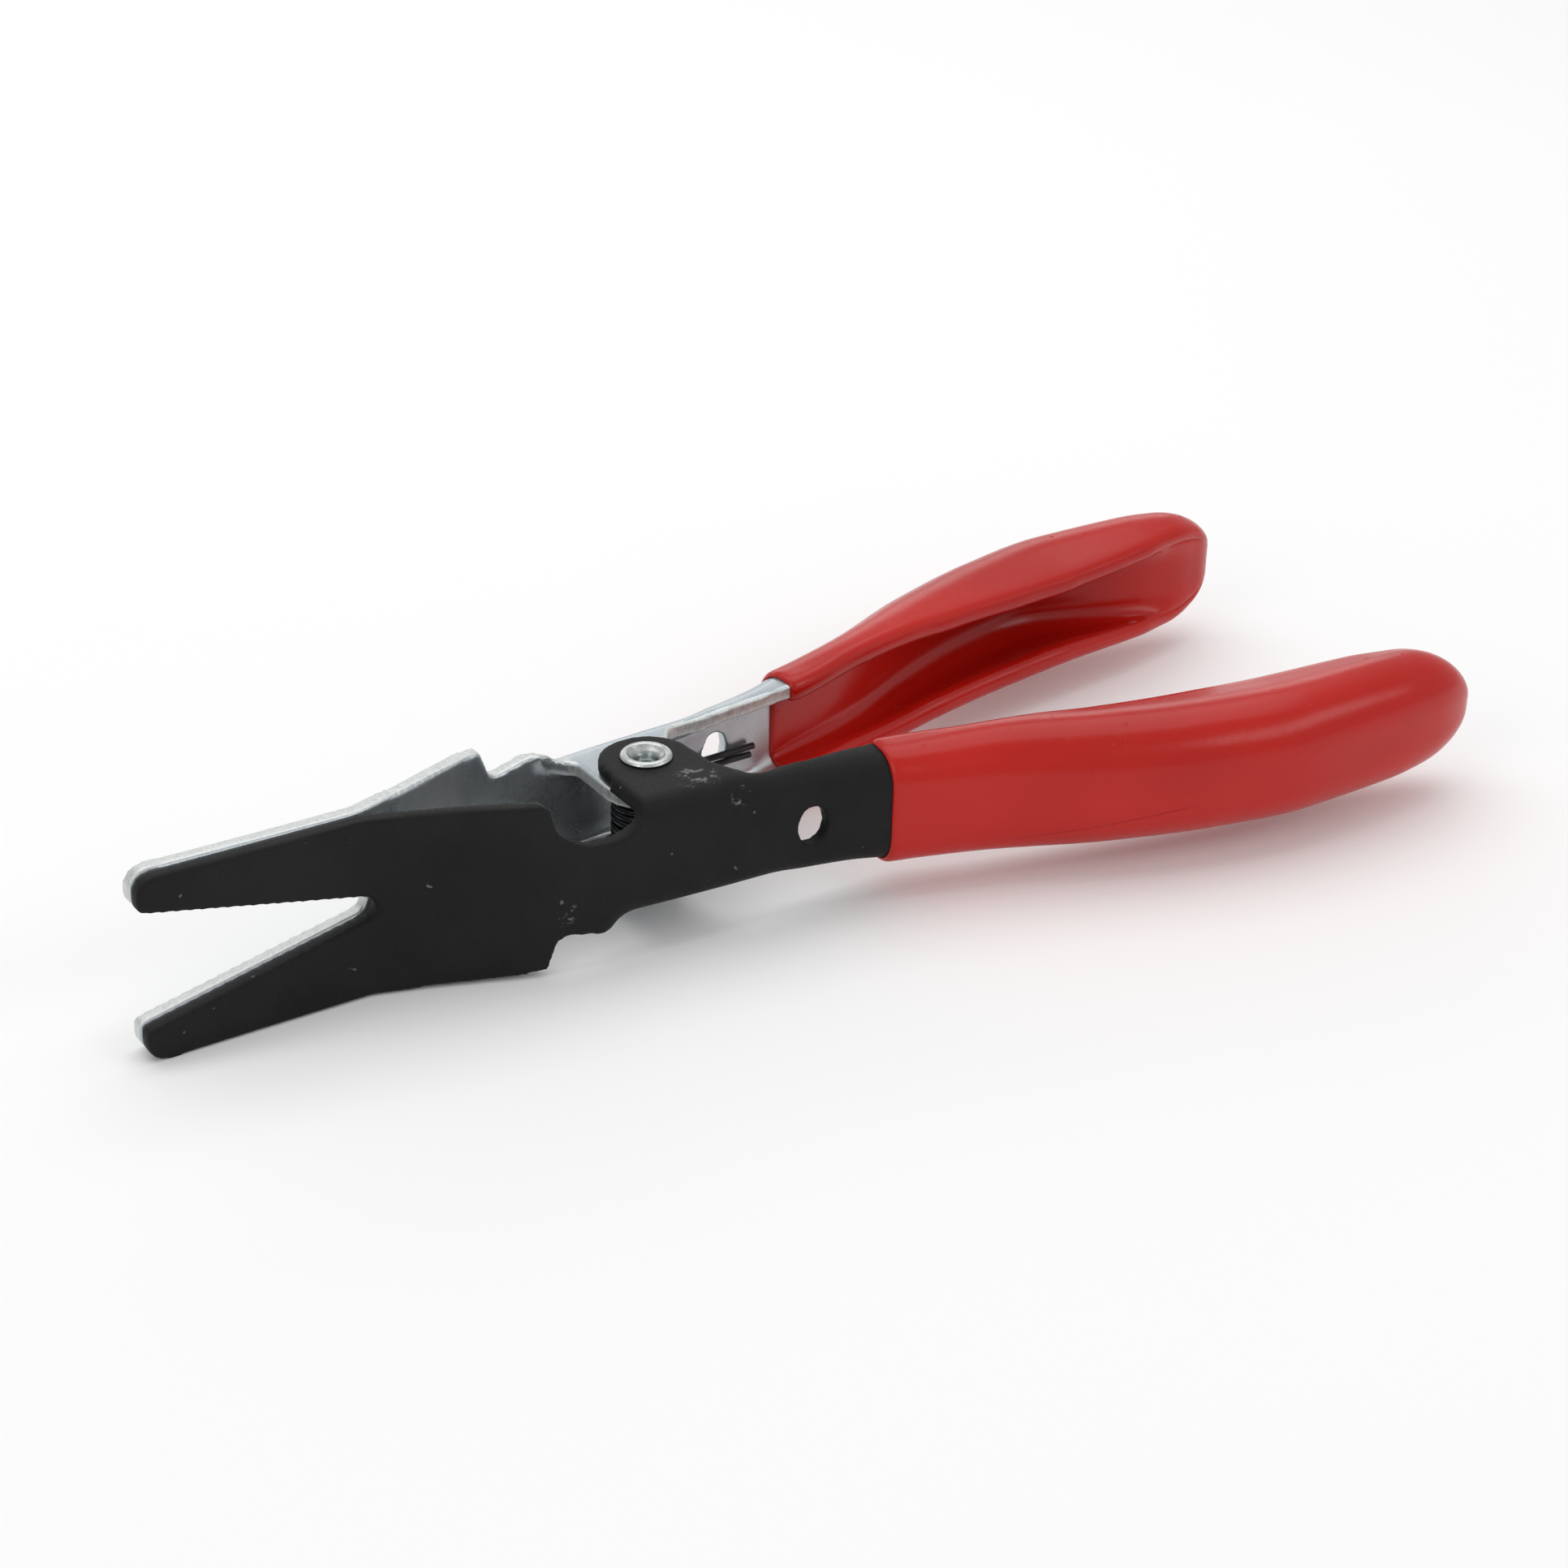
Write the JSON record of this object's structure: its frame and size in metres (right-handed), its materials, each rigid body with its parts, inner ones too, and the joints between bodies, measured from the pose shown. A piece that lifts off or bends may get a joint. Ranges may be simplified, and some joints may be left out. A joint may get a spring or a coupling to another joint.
{
  "type": "hose separator pliers",
  "caption": "Spring-closed pliers with forked flat jaw plates and dipped grips; squeezing the handles spreads the jaws to push a hose off its fitting.",
  "frame": {"origin": "middle of the tool's length and spread, on the surface that it lies on with the pivot upright", "axes": "+X from the jaws to the grips, +Y from the front half to the rear half, +Z along the pivot"},
  "size_m": [0.2336, 0.0858, 0.0315],
  "materials": {
    "black_coated_steel": "matt black coating with light scuffs at the pivot",
    "zinc_plated_steel": "bright zinc plate on punched sheet steel",
    "red_vinyl": "glossy dipped vinyl",
    "bright_rivet_steel": "zinc plated, rolled by the rivet tool",
    "black_spring_wire": "oiled black spring wire"
  },
  "bodies": {
    "front": {"front_half": "black_coated_steel", "front_grip": "red_vinyl", "pivot_rivet": "bright_rivet_steel", "spacer_sleeve": "bright_rivet_steel", "upper_spring": "black_spring_wire", "lower_spring": "black_spring_wire"},
    "rear": {"rear_half": "zinc_plated_steel", "rear_grip": "red_vinyl"}
  },
  "joints": [
    {"name": "jaw_pivot", "type": "hinge", "parent": "front", "child": "rear", "pos_m": [-0.02828, 0, 0.01576], "axis": [0, 0, -1], "range_deg": [0, 22], "stiffness_Nm_per_rad": 2, "springref_deg": -34.38, "deforming": ["upper_spring", "lower_spring"]}
  ]
}
